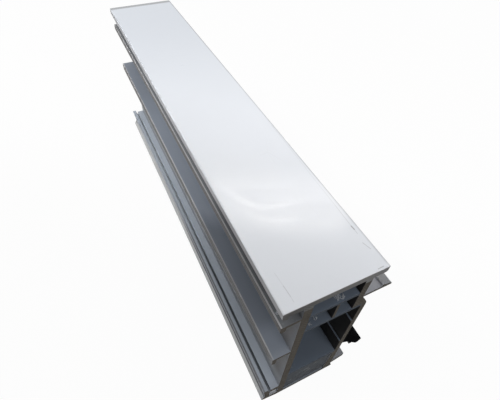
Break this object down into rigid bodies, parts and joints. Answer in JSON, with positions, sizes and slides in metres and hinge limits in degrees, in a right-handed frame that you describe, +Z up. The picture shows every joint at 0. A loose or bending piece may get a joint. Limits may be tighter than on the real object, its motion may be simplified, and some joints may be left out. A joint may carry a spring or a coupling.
{
  "type": "window extension profile",
  "caption": "Cut length of multi-chamber window frame extension profile, glossy white face on a grey body, with edge flanges, a hooked rail, a foam insert and a black sealing lip.",
  "frame": {"origin": "under the middle of the part, at the level of the base it stands on", "axes": "+Y along the cut length, away from the end that faces the viewer; +Z up, towards the white face; +X towards the gasket side"},
  "size_m": [0.0452, 0.2, 0.0823],
  "materials": {
    "grey_plastic": "satin",
    "black_rubber": "matte",
    "grey_foam": "rough"
  },
  "bodies": {
    "root": {"profile": "grey_plastic", "gasket": "black_rubber", "insert": "grey_foam"}
  },
  "joints": []
}
